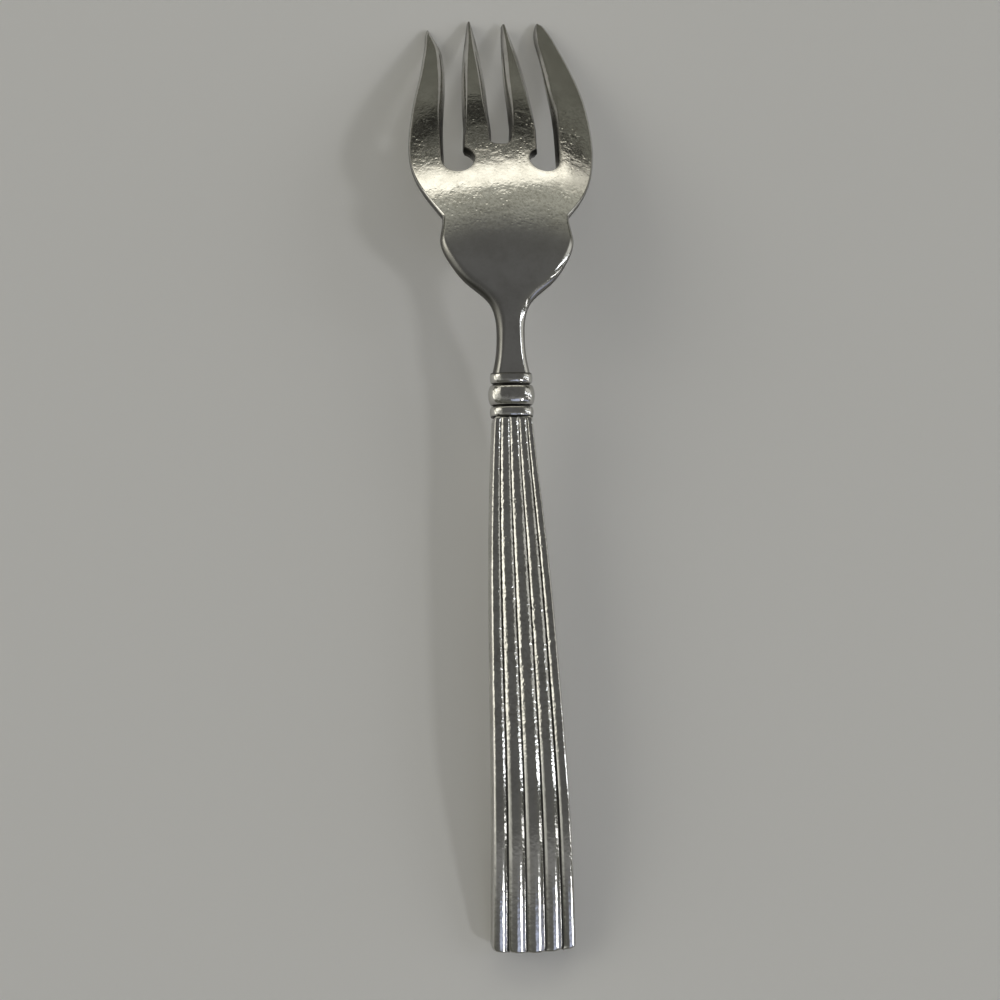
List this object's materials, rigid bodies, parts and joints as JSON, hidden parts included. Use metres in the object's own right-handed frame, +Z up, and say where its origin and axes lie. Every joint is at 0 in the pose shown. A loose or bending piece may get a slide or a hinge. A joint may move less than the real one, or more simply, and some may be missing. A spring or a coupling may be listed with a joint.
{
  "type": "salad fork",
  "caption": "Salad fork for spearing greens: four curved tines, one broad for cutting, parted by keyhole slots, a waisted bowl, a ringed collar and a hollow, flaring, reeded handle.",
  "frame": {"origin": "on the table, under the middle of the fork's length and width, with the fork lying face down", "axes": "+Y from the handle's end to the tine tips, +X across the fork, +Z up from the table to the fork's back"},
  "size_m": [0.0336, 0.173, 0.0193],
  "materials": {
    "polished_steel": "polished",
    "handle_steel": "polished",
    "cement": "matte"
  },
  "bodies": {
    "root": {"fork_head": "polished_steel", "collar": "handle_steel", "handle_back_shell": "handle_steel", "handle_front_shell": "handle_steel", "handle_filler": "cement"}
  },
  "joints": []
}
